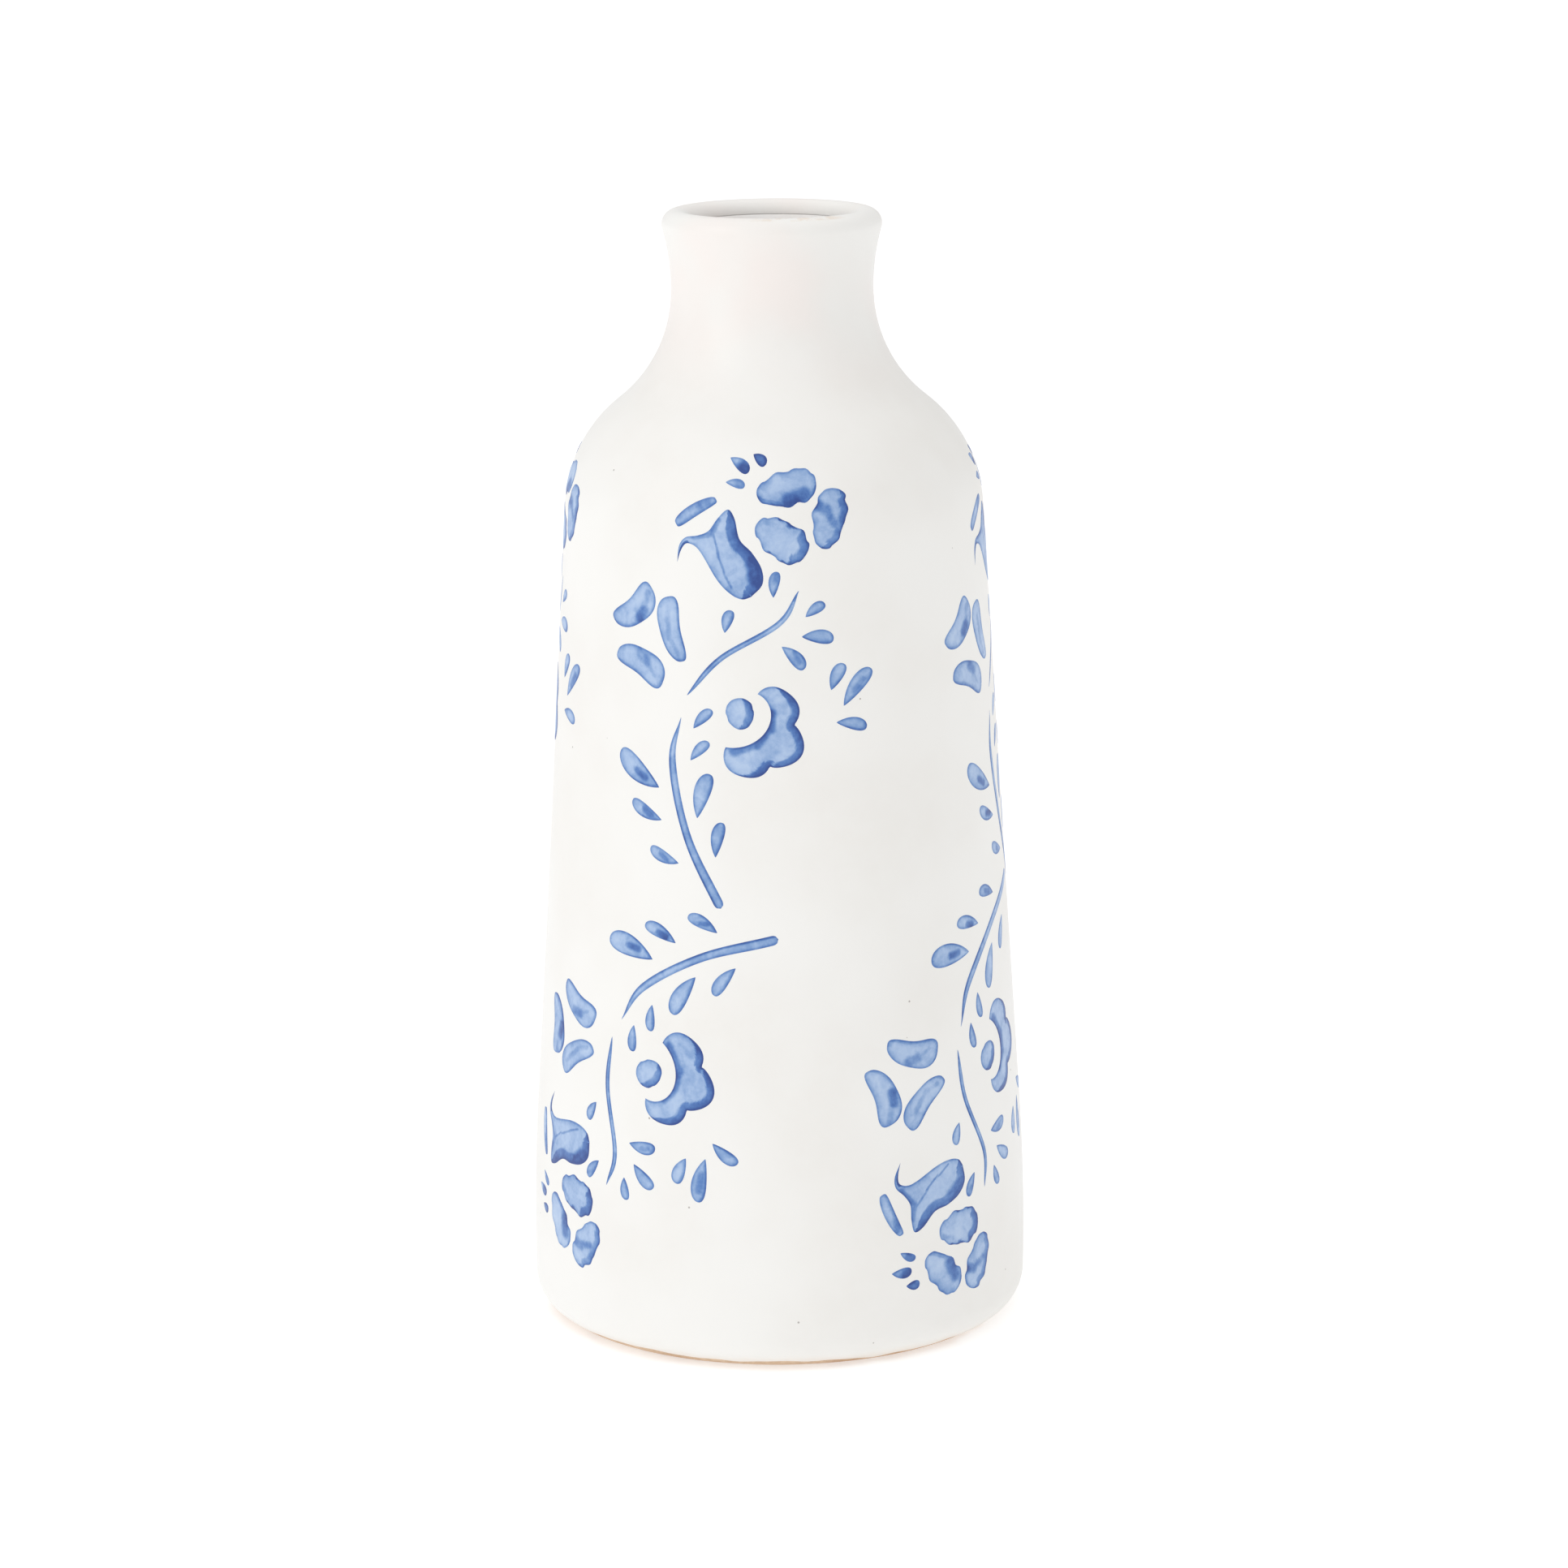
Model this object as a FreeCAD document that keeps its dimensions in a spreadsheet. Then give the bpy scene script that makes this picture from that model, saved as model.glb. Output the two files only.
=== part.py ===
import FreeCAD, Part
import math
import os

import Sketcher

# A shouldered porcelain vase: a cast clay body with a foot ring, a glaze coat outside, a glaze
# lining inside, and eight blue transfers fired onto the outer coat.
# Millimetres, +Z up the axis, origin at the centre of the plane that the foot ring stands on.

SIZES = {
    "body_diameter": 80.0,  # the widest place, over the glaze
    "total_height": 179.0,
    "widest_height": 12.0,
    "heel_radius": 6.25,  # rounding between the wall and the foot
    "heel_height": 6.0,  # centre of that rounding
    "blend_radius": 350.0,  # slight swell between the heel and the straight taper
    "taper_angle": 3.5,
    "shoulder_height": 131.0,  # centre of the shoulder's curve
    "shoulder_radius": 22.7,
    "neck_radius": 16.0,  # outside, at the waist of the neck
    "neck_curve_radius": 22.4,
    "lip_radius": 2.3,
    "wall_thickness": 3.2,  # with both coats
    "floor_thickness": 5.0,  # with the inner coat
    "floor_corner_radius": 9.0,
    "foot_ring_width": 4.4,
    "foot_recess_depth": 1.6,
    "glaze_thickness": 0.3,
    "glaze_line_height": 1.0,  # bare clay shows below it
    "film_thickness": 0.12,  # the fired transfers
}

CENTRE, START, END = 3, 1, 2  # the points of a sketched arc; a line has START and END
ORIGIN = (-1, 1)
LEVEL_AXIS = -1
UPRIGHT_AXIS = -2
SKETCH_NORMAL = FreeCAD.Vector(0, 0, 1)

doc = FreeCAD.newDocument("porcelain_vase")


def make_sheet():
    sheet = doc.addObject("Spreadsheet::Sheet", "Sizes")
    for row, (alias, value) in enumerate(SIZES.items(), start=1):
        sheet.set("A%d" % row, alias)
        sheet.set("B%d" % row, str(value))
        sheet.setAlias("B%d" % row, alias)
    doc.recompute()
    return sheet


sheet = make_sheet()


def size(alias):
    return float(sheet.get(alias))


# ---- the outline, as places worked out from the sizes --------------------------------------------

# Every curve of the wall keeps its centre, whatever the depth below the glazed surface, so the
# glaze, the clay and the hollow are parallel. A place is (distance from the axis, height).


def along(start, end, distance):
    length = math.dist(start, end)
    return tuple(a + (b - a) * distance / length for a, b in zip(start, end))


def blend_centre():
    return size("body_diameter") / 2 - size("blend_radius"), size("widest_height")


def taper_direction():
    tilt = math.radians(size("taper_angle"))
    return math.cos(tilt), math.sin(tilt)


def off_centre(centre, radius):
    """The place on a curve where it meets the straight taper."""
    across, up = taper_direction()
    return centre[0] + radius * across, centre[1] + radius * up


def shoulder_centre():
    across, up = taper_direction()
    low = off_centre(blend_centre(), size("blend_radius"))
    height = size("shoulder_height")
    touch_height = height + size("shoulder_radius") * up
    touch_radius = low[0] - (touch_height - low[1]) * up / across
    return touch_radius - size("shoulder_radius") * across, height


def neck_centre():
    shoulder = shoulder_centre()
    reach = size("shoulder_radius") + size("neck_curve_radius")
    radius = size("neck_radius") + size("neck_curve_radius")
    return radius, shoulder[1] + math.sqrt(reach**2 - (radius - shoulder[0]) ** 2)


def lip_centre():
    radius = size("neck_radius") - size("wall_thickness") + size("lip_radius")
    return radius, size("total_height") - size("lip_radius")


def flare_radius():
    """Radius of the curve from the waist of the neck that meets the lip smoothly."""
    lip = size("lip_radius")
    sideways = size("neck_radius") - lip_centre()[0]
    upwards = lip_centre()[1] - neck_centre()[1]
    return (sideways**2 + upwards**2 - lip**2) / (2 * (lip - sideways))


def corner_centre(radius, height, depth):
    """Centre of a rounding that runs smoothly into the blend curve from inside it."""
    blend = blend_centre()
    reach = size("blend_radius") - depth - radius
    return blend[0] + math.sqrt(reach**2 - (height - blend[1]) ** 2), height


def surface_radius(height):
    """Outer radius of the glaze at a height between the heel and the waist of the neck."""
    blend, shoulder, neck = blend_centre(), shoulder_centre(), neck_centre()
    low = off_centre(blend, size("blend_radius"))
    high = off_centre(shoulder, size("shoulder_radius"))
    turn = along(shoulder, neck, size("shoulder_radius"))
    if height < low[1]:
        return blend[0] + math.sqrt(size("blend_radius") ** 2 - (height - blend[1]) ** 2)
    if height < high[1]:
        return low[0] + (high[0] - low[0]) * (height - low[1]) / (high[1] - low[1])
    if height < turn[1]:
        return shoulder[0] + math.sqrt(size("shoulder_radius") ** 2 - (height - shoulder[1]) ** 2)
    return neck[0] - math.sqrt(size("neck_curve_radius") ** 2 - (height - neck[1]) ** 2)


# ---- sketching -------------------------------------------------------------------------------------


def new_body(label):
    body = doc.addObject("PartDesign::Body", label)
    body.Label = label
    return body


def new_sketch(body):
    """A sketch on the body's upright plane: across it is the distance from the axis."""
    plane = next(o for o in body.Origin.OriginFeatures if o.Role == "XZ_Plane")
    sketch = body.newObject("Sketcher::SketchObject", body.Label + "_section")
    sketch.AttachmentSupport = (plane, [""])
    sketch.MapMode = "FlatFace"
    return sketch


def revolve(body, sketch):
    turned = body.newObject("PartDesign::Revolution", body.Label + "_turned")
    turned.Profile = sketch
    turned.ReferenceAxis = (sketch, ["V_Axis"])
    turned.Angle = 360
    body.Tip = turned
    return body


def vector(place):
    return FreeCAD.Vector(place[0], place[1], 0)


def add_line(sketch, start, end):
    return sketch.addGeometry(Part.LineSegment(vector(start), vector(end)), False)


def add_arc(sketch, centre, start, end):
    """An arc that runs anticlockwise from one place to the other."""
    angles = [math.atan2(p[1] - centre[1], p[0] - centre[0]) for p in (start, end)]
    circle = Part.Circle(vector(centre), SKETCH_NORMAL, math.dist(centre, start))
    return sketch.addGeometry(Part.ArcOfCircle(circle, angles[0], angles[1]), False)


def measure(sketch, kind, where, value, formula):
    """A dimension that follows the sheet: value is what it starts at."""
    index = sketch.addConstraint(Sketcher.Constraint(kind, *where, value))
    sketch.renameConstraint(index, "size_%d" % index)
    sketch.setExpression("Constraints.size_%d" % index, formula)


def join(sketch, first, second):
    sketch.addConstraint(Sketcher.Constraint("Coincident", *first, *second))


def close(sketch, first, second):
    """A straight edge between two points that are already drawn."""
    ends = [tuple(sketch.getPoint(*point))[:2] for point in (first, second)]
    edge = add_line(sketch, *ends)
    join(sketch, first, (edge, START))
    join(sketch, second, (edge, END))


def smooth(sketch, first, second):
    sketch.addConstraint(Sketcher.Constraint("Tangent", *first, *second))


def set_height(sketch, point, value, formula):
    measure(sketch, "DistanceY", (*ORIGIN, *point), value, formula)


def set_radius_out(sketch, point, value, formula):
    measure(sketch, "DistanceX", (*ORIGIN, *point), value, formula)


def sketch_wall(sketch, depth, formula, low):
    """Blend curve, straight taper, shoulder and neck at a depth below the glazed surface.

    low is where the blend curve starts. Returns the blend curve and the neck curve.
    """
    blend, shoulder, neck = blend_centre(), shoulder_centre(), neck_centre()
    blend_end = off_centre(blend, size("blend_radius") - depth)
    shoulder_start = off_centre(shoulder, size("shoulder_radius") - depth)
    shoulder_end = along(shoulder, neck, size("shoulder_radius") - depth)
    waist = (size("neck_radius") - depth, neck[1])

    blend_arc = add_arc(sketch, blend, low, blend_end)
    taper = add_line(sketch, blend_end, shoulder_start)
    shoulder_arc = add_arc(sketch, shoulder, shoulder_start, shoulder_end)
    neck_arc = add_arc(sketch, neck, waist, shoulder_end)

    smooth(sketch, (blend_arc, END), (taper, START))
    smooth(sketch, (taper, END), (shoulder_arc, START))
    smooth(sketch, (shoulder_arc, END), (neck_arc, END))
    measure(
        sketch, "Radius", (blend_arc,), size("blend_radius") - depth, "Sizes.blend_radius - " + formula
    )
    measure(
        sketch, "DistanceX", (blend_arc, CENTRE, *ORIGIN), -blend[0],
        "Sizes.blend_radius - Sizes.body_diameter / 2",
    )
    set_height(sketch, (blend_arc, CENTRE), blend[1], "Sizes.widest_height")
    tilt = math.radians(90 + size("taper_angle"))
    measure(sketch, "Angle", (taper,), tilt, "(90 + Sizes.taper_angle) * 1 deg")
    measure(
        sketch, "Radius", (shoulder_arc,), size("shoulder_radius") - depth,
        "Sizes.shoulder_radius - " + formula,
    )
    set_height(sketch, (shoulder_arc, CENTRE), shoulder[1], "Sizes.shoulder_height")
    measure(
        sketch, "Radius", (neck_arc,), size("neck_curve_radius") + depth,
        "Sizes.neck_curve_radius + " + formula,
    )
    set_radius_out(
        sketch, (neck_arc, CENTRE), neck[0], "Sizes.neck_radius + Sizes.neck_curve_radius"
    )
    sketch.addConstraint(Sketcher.Constraint("Horizontal", neck_arc, START, neck_arc, CENTRE))
    return blend_arc, neck_arc


def sketch_outside(sketch, depth, formula, foot_height):
    """The whole outside, from the foot over the lip. Returns the heel and the lip curves.

    The heel's START is at the foot, and the lip's END is at the mouth's inner side.
    """
    centre = corner_centre(size("heel_radius"), size("heel_height"), depth)
    drop = size("heel_height") - foot_height
    foot = (centre[0] + math.sqrt(size("heel_radius") ** 2 - drop**2), foot_height)
    heel_end = along(blend_centre(), centre, size("blend_radius") - depth)
    blend_arc, neck_arc = sketch_wall(sketch, depth, formula, heel_end)

    neck, lip = neck_centre(), lip_centre()
    waist = (size("neck_radius") - depth, neck[1])
    flare = (size("neck_radius") + flare_radius(), neck[1])
    lip_start = along(lip, flare, size("lip_radius") - depth)
    lip_end = (lip[0] - size("lip_radius") + depth, lip[1])

    heel_arc = add_arc(sketch, centre, foot, heel_end)
    flare_arc = add_arc(sketch, flare, lip_start, waist)
    lip_arc = add_arc(sketch, lip, lip_start, lip_end)

    smooth(sketch, (heel_arc, END), (blend_arc, START))
    smooth(sketch, (neck_arc, START), (flare_arc, END))
    smooth(sketch, (flare_arc, START), (lip_arc, START))
    measure(sketch, "Radius", (heel_arc,), size("heel_radius"), "Sizes.heel_radius")
    set_height(sketch, (heel_arc, CENTRE), centre[1], "Sizes.heel_height")
    sketch.addConstraint(Sketcher.Constraint("Horizontal", lip_arc, END, lip_arc, CENTRE))
    measure(
        sketch, "Radius", (lip_arc,), size("lip_radius") - depth, "Sizes.lip_radius - " + formula
    )
    set_height(sketch, (lip_arc, CENTRE), lip[1], "Sizes.total_height - Sizes.lip_radius")
    return heel_arc, lip_arc


def sketch_hollow(sketch, depth, formula):
    """The hollow, from the throat down to the floor. depth is counted from the outer glaze.

    Returns the throat line, whose END is at the mouth, and the floor line, which starts on the axis.
    """
    coat = size("wall_thickness") - depth
    corner_radius = size("floor_corner_radius") + coat
    floor = size("floor_thickness") - coat
    centre = corner_centre(corner_radius, floor + corner_radius, depth)
    corner_end = along(blend_centre(), centre, size("blend_radius") - depth)
    blend_arc, neck_arc = sketch_wall(sketch, depth, formula, corner_end)

    corner_start = (centre[0], floor)
    throat = size("neck_radius") - depth
    corner_arc = add_arc(sketch, centre, corner_start, corner_end)
    floor_line = add_line(sketch, (0, floor), corner_start)
    throat_line = add_line(sketch, (throat, neck_centre()[1]), (throat, lip_centre()[1]))

    smooth(sketch, (corner_arc, END), (blend_arc, START))
    smooth(sketch, (floor_line, END), (corner_arc, START))
    smooth(sketch, (throat_line, START), (neck_arc, START))
    sketch.addConstraint(Sketcher.Constraint("PointOnObject", floor_line, START, UPRIGHT_AXIS))
    sketch.addConstraint(Sketcher.Constraint("Horizontal", floor_line))
    coat_formula = "(Sizes.wall_thickness - (%s))" % formula
    measure(
        sketch, "Radius", (corner_arc,), corner_radius, "Sizes.floor_corner_radius + " + coat_formula
    )
    set_height(sketch, (floor_line, START), floor, "Sizes.floor_thickness - " + coat_formula)
    return throat_line, floor_line


# ---- the sub-parts ---------------------------------------------------------------------------------


def make_clay_body():
    """The cast clay: foot ring with a recess inside it, floor, wall, shoulder, neck and lip."""
    body = new_body("clay_body")
    sketch = new_sketch(body)
    glaze = size("glaze_thickness")
    recess = size("foot_recess_depth")
    heel, lip = sketch_outside(sketch, glaze, "Sizes.glaze_thickness", 0)
    throat, floor = sketch_hollow(
        sketch, size("wall_thickness") - glaze, "(Sizes.wall_thickness - Sizes.glaze_thickness)"
    )
    join(sketch, (lip, END), (throat, END))
    sketch.addConstraint(Sketcher.Constraint("PointOnObject", heel, START, LEVEL_AXIS))

    outer = sketch.getPoint(heel, START)[0]
    inner = outer - size("foot_ring_width")
    standing = add_line(sketch, (outer, 0), (inner, 0))
    slope = add_line(sketch, (inner, 0), (inner - recess, recess))
    underside = add_line(sketch, (inner - recess, recess), (0, recess))
    axis = add_line(sketch, (0, recess), (0, size("floor_thickness") - glaze))
    join(sketch, (heel, START), (standing, START))
    join(sketch, (standing, END), (slope, START))
    join(sketch, (slope, END), (underside, START))
    join(sketch, (underside, END), (axis, START))
    join(sketch, (axis, END), (floor, START))
    for line in (standing, underside):
        sketch.addConstraint(Sketcher.Constraint("Horizontal", line))
    sketch.addConstraint(Sketcher.Constraint("Vertical", axis))
    measure(
        sketch, "DistanceX", (standing, END, standing, START), size("foot_ring_width"),
        "Sizes.foot_ring_width",
    )
    measure(
        sketch, "DistanceX", (slope, END, slope, START), recess, "Sizes.foot_recess_depth"
    )
    set_height(sketch, (slope, END), recess, "Sizes.foot_recess_depth")
    return revolve(body, sketch)


def make_outer_glaze():
    """The coat outside, from the glaze line at the heel over the lip to the mouth's inner side."""
    body = new_body("outer_glaze")
    sketch = new_sketch(body)
    foot = size("glaze_line_height")
    heel, lip = sketch_outside(sketch, 0, "0", foot)
    clay_heel, clay_lip = sketch_outside(
        sketch, size("glaze_thickness"), "Sizes.glaze_thickness", foot
    )
    for point in ((heel, START), (clay_heel, START)):
        set_height(sketch, point, foot, "Sizes.glaze_line_height")
    for arc in (lip, clay_lip):
        set_radius_out(
            sketch, (arc, CENTRE), lip_centre()[0],
            "Sizes.neck_radius - Sizes.wall_thickness + Sizes.lip_radius",
        )
    close(sketch, (heel, START), (clay_heel, START))
    close(sketch, (lip, END), (clay_lip, END))
    return revolve(body, sketch)


def make_inner_glaze():
    """The poured lining, from the mouth's inner side down the throat and over the floor."""
    body = new_body("inner_glaze")
    sketch = new_sketch(body)
    wall, glaze = size("wall_thickness"), size("glaze_thickness")
    throat, floor = sketch_hollow(sketch, wall, "Sizes.wall_thickness")
    clay_throat, clay_floor = sketch_hollow(
        sketch, wall - glaze, "(Sizes.wall_thickness - Sizes.glaze_thickness)"
    )
    for line in (throat, clay_throat):
        set_height(
            sketch, (line, END), lip_centre()[1], "Sizes.total_height - Sizes.lip_radius"
        )
    close(sketch, (throat, END), (clay_throat, END))
    close(sketch, (floor, START), (clay_floor, START))
    return revolve(body, sketch)


def make_film_band():
    """The layer on the glaze that all transfers are cut from, from the heel to the neck's waist."""
    body = new_body("film_band")
    sketch = new_sketch(body)
    film = size("film_thickness")
    arcs = []
    for depth, formula in ((0, "0"), (-film, "(0 - Sizes.film_thickness)")):
        radius = size("blend_radius") - depth
        rise = size("widest_height") - size("heel_height")
        low = (blend_centre()[0] + math.sqrt(radius**2 - rise**2), size("heel_height"))
        arcs.append(sketch_wall(sketch, depth, formula, low))
        set_height(sketch, (arcs[-1][0], START), size("heel_height"), "Sizes.heel_height")
    for inside, outside in zip(*arcs):
        close(sketch, (inside, START), (outside, START))
    return revolve(body, sketch)


# ---- the transfers ---------------------------------------------------------------------------------

# One spray is drawn flat, in millimetres from the heart of its rose: x to the right, y upwards.
# Every transfer is that spray, upright or flipped, turned a little and wrapped around the vase.

LEAVES = [  # pointed end, round end, width
    ((-2.0, 39.0), (1.0, 37.0), 1.9),
    ((1.5, 39.5), (3.5, 38.0), 1.7),
    ((-2.5, 35.5), (0.5, 35.0), 1.5),
    ((5.0, 18.0), (5.5, 22.0), 1.9),
    ((-2.5, 12.5), (-1.5, 16.0), 2.0),
    ((10.0, 15.0), (13.0, 17.0), 1.9),
    ((9.5, 12.0), (14.5, 11.5), 2.4),
    ((6.5, 10.5), (10.0, 7.0), 2.3),
    ((14.0, 3.5), (16.0, 7.5), 2.4),
    ((16.0, 1.0), (20.5, 6.5), 2.8),
    ((15.0, -1.5), (20.0, -2.5), 2.2),
    ((-7.5, -2.5), (-4.5, 0.5), 1.9),
    ((-8.0, -7.5), (-5.0, -4.5), 1.9),
    ((-13.5, -12.5), (-21.0, -7.5), 3.9),
    ((-13.0, -17.5), (-18.5, -15.0), 2.4),
    ((-10.0, -24.0), (-15.0, -22.0), 2.2),
    ((-7.0, -16.5), (-5.0, -9.5), 3.0),
    ((-4.0, -22.5), (-3.0, -17.0), 2.3),
]
BEANS = [  # middle, length, width, direction in degrees, bend towards the middle of the trio
    ((-18.5, 15.5), 9.5, 4.0, 33, -1.1),
    ((-11.0, 12.5), 10.0, 4.0, 104, 0.9),
    ((-17.0, 6.5), 10.0, 4.0, -18, 1.1),
]
PETALS = [  # middle, length, width, direction in degrees
    ((7.0, 34.5), 9.2, 5.2, 8),
    ((13.5, 30.0), 9.8, 5.6, 82),
    ((6.5, 27.0), 9.4, 5.8, -35),
]
STEMS = [  # places along the stem, then its width at the start and at the end
    ([(-8.5, 2.5), (-3.0, 8.5), (6.0, 14.0), (9.0, 19.0)], 0.7, 0.6),
    ([(-3.0, -30.5), (-8.5, -19.5), (-11.0, -8.0), (-9.5, -1.0)], 1.5, 0.5),
]
STEM_SWELL = 0.5
BAR = ((-10.5, 29.0), (-4.0, 33.0), 1.8)
HEART = (4.3, 4.7)
ROSE = {"inner": 4.8, "middle": (2.7, -2.6), "outer": 5.7, "lobe": 2.0}
ROSE_SPAN = (90, -152)  # directions of the two tips from the rose's middle, in degrees
TULIP_CUP = [(-9.0, 26.0), (-6.0, 24.5), (-2.5, 19.0), (1.0, 17.8), (3.5, 20.5), (1.5, 25.5), (-0.8, 30.0)]
TULIP_RIM = [(-0.8, 30.0), (-2.0, 31.4), (-3.6, 30.0), (-5.0, 28.0), (-8.8, 26.9)]
TULIP_CURL = [(-8.8, 26.9), (-9.9, 25.5), (-10.2, 23.0), (-9.6, 24.8), (-9.0, 26.0)]

TRANSFERS = {  # degrees around from the front, height of the heart, turn in degrees, flipped
    "upper_transfer_front": (-9.0, 104.0, 0.0, False),
    "upper_transfer_right": (90.0, 102.5, 5.0, False),
    "upper_transfer_back": (176.0, 103.0, -3.0, False),
    "upper_transfer_left": (-96.5, 102.5, 0.0, False),
    "lower_transfer_front": (-31.5, 47.0, -50.0, True),
    "lower_transfer_right": (60.0, 46.0, -34.5, True),
    "lower_transfer_back": (152.0, 46.5, -42.0, True),
    "lower_transfer_left": (-121.0, 46.0, -45.0, True),
}
SAMPLES = 14  # places along one drawn curve
PRISM_START = 20.0  # distance from the axis, inside the shoulder's radius
PRISM_END = 45.0  # distance from the axis, outside the body


def turned(point, degrees):
    angle = math.radians(degrees)
    return (
        point[0] * math.cos(angle) - point[1] * math.sin(angle),
        point[0] * math.sin(angle) + point[1] * math.cos(angle),
    )


def placed(points, middle, degrees):
    return [(middle[0] + x, middle[1] + y) for x, y in (turned(p, degrees) for p in points)]


def leaf(tip, end, width):
    """A teardrop: a point at one end and round at the other."""
    length = math.dist(tip, end)
    direction = math.degrees(math.atan2(end[1] - tip[1], end[0] - tip[0]))
    points = []
    for step in range(SAMPLES + 1):
        turn = 2 * math.pi * step / SAMPLES
        half = 0.65 * width * math.sin(turn) * math.sin(turn / 2)
        points.append((length * (1 - math.cos(turn)) / 2, -half))
    return [placed(points, tip, direction)]


def bean(middle, length, width, direction, bend):
    points = []
    for step in range(SAMPLES + 1):
        turn = 2 * math.pi * step / SAMPLES
        across = math.cos(turn)
        points.append((length / 2 * across, width / 2 * math.sin(turn) + bend * (0.5 - across**2)))
    return [placed(points, middle, direction)]


def petal(middle, length, width, direction):
    """An oval with a gently waved edge."""
    points = []
    for step in range(2 * SAMPLES + 1):
        turn = math.pi * step / SAMPLES
        wave = 1 + 0.04 * math.cos(7 * turn)
        points.append((length / 2 * wave * math.cos(turn), width / 2 * wave * math.sin(turn)))
    return [placed(points, middle, direction)]


def bar(start, end, width):
    middle = ((start[0] + end[0]) / 2, (start[1] + end[1]) / 2)
    direction = math.degrees(math.atan2(end[1] - start[1], end[0] - start[0]))
    return bean(middle, math.dist(start, end), width, direction, 0)


def stem(places, start_width, end_width):
    """A slender band along a smooth line, a little wider in between, as two long edges and ends."""
    line = Part.BSplineCurve()
    line.interpolate([vector(place) for place in places])
    left, right = [], []
    for step in range(SAMPLES + 1):
        part = step / SAMPLES
        at = line.FirstParameter + part * (line.LastParameter - line.FirstParameter)
        centre, ahead = line.value(at), line.tangent(at)[0]
        width = start_width + (end_width - start_width) * part + STEM_SWELL * math.sin(math.pi * part)
        left.append((centre.x - ahead.y * width / 2, centre.y + ahead.x * width / 2))
        right.append((centre.x + ahead.y * width / 2, centre.y - ahead.x * width / 2))
    return [right, [right[-1], left[-1]], left[::-1], [left[0], right[0]]]


def rose():
    """A crescent round the heart, with three lobes on its outer edge."""
    middle = ROSE["middle"]
    first, last = ROSE_SPAN
    outer = []
    for step in range(2 * SAMPLES + 1):
        part = step / (2 * SAMPLES)
        reach = ROSE["outer"] + ROSE["lobe"] * abs(math.sin(3 * math.pi * part))
        outer.append(turned((reach, 0), first + (last - first) * part))
    outer = [(middle[0] + x, middle[1] + y) for x, y in outer]
    ends = [math.degrees(math.atan2(y, x)) for x, y in (outer[-1], outer[0])]
    radii = [math.hypot(*outer[-1]), math.hypot(*outer[0])]
    inner = []
    for step in range(SAMPLES + 1):
        part = step / SAMPLES
        reach = radii[0] + (radii[1] - radii[0]) * part
        reach += (ROSE["inner"] - reach) * math.sin(math.pi * part)
        inner.append(turned((reach, 0), ends[0] + (ends[1] - ends[0]) * part))
    return [outer, inner]


def spray():
    """Every patch of colour in one transfer, each a list of curves that close on each other."""
    patches = [leaf(*entry) for entry in LEAVES]
    patches += [bean(*entry) for entry in BEANS]
    patches += [petal(*entry) for entry in PETALS]
    patches += [stem(*entry) for entry in STEMS]
    patches += [bar(*BAR), bean((0, 0), HEART[1], HEART[0], 90, 0), rose()]
    patches.append([TULIP_CUP, TULIP_RIM, TULIP_CURL])
    return patches


def patch_prism(curves, height, turn, flipped):
    """The patch at the front of the vase, as a prism that stands out through the glaze's surface."""
    flip = -1 if flipped else 1
    on_vase = []
    for curve in curves:
        moved = [turned((x, y * flip), turn) for x, y in curve]
        places = [(height + y, x / surface_radius(height + y)) for x, y in moved]
        on_vase.append(places)
    angles = [angle for curve in on_vase for _, angle in curve]
    middle = (min(angles) + max(angles)) / 2
    outward = FreeCAD.Vector(math.sin(middle), -math.cos(middle), 0)
    sideways = FreeCAD.Vector(math.cos(middle), math.sin(middle), 0)
    upward = FreeCAD.Vector(0, 0, 1)
    edges = []
    for curve in on_vase:
        points = [
            outward * PRISM_START
            + sideways * (surface_radius(level) * math.sin(angle - middle))
            + upward * level
            for level, angle in curve
        ]
        if len(points) == 2:
            edges.append(Part.LineSegment(points[0], points[1]).toShape())
            continue
        line = Part.BSplineCurve()
        line.interpolate(points)
        edges.append(line.toShape())
    face = Part.Face(Part.Wire(edges))
    return face.extrude(outward * (PRISM_END - PRISM_START))


def make_transfer(label, around, height, turn, flipped, band):
    """Cut from the band at its front, away from the band's seam, then turned round the axis."""
    prisms = doc.addObject("Part::Feature", label + "_outlines")
    prisms.Shape = Part.makeCompound(
        [patch_prism(curves, height, turn, flipped) for curves in spray()]
    )
    film = doc.addObject("Part::Common", label)
    film.Label = label
    film.Base = prisms
    film.Tool = band
    upright = FreeCAD.Vector(0, 0, 1)
    film.Placement = FreeCAD.Placement(FreeCAD.Vector(), FreeCAD.Rotation(upright, around))
    return film


# ---- the vase --------------------------------------------------------------------------------------

parts = [make_clay_body(), make_outer_glaze(), make_inner_glaze()]
film_band = make_film_band()
doc.recompute()
transfers = [make_transfer(label, *place, film_band) for label, place in TRANSFERS.items()]
doc.recompute()

for item in doc.Objects:
    if "Invalid" in item.State or "Error" in item.State:
        raise RuntimeError("%s did not recompute: %s" % (item.Label, item.State))
for item in parts + transfers:
    if item.Shape.isNull() or not item.Shape.isValid():
        raise RuntimeError(item.Label + " has no valid shape")
patch_count = len(spray())
for item in transfers:
    if len(item.Shape.Solids) != patch_count:
        raise RuntimeError("%s has %d patches" % (item.Label, len(item.Shape.Solids)))

os.makedirs("parts", exist_ok=True)
for item in parts + transfers:
    item.Shape.exportStep("parts/%s.step" % item.Label)
    print("%s: %d solids, %.1f mm3" % (item.Label, len(item.Shape.Solids), item.Shape.Volume))
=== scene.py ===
import math

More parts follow.
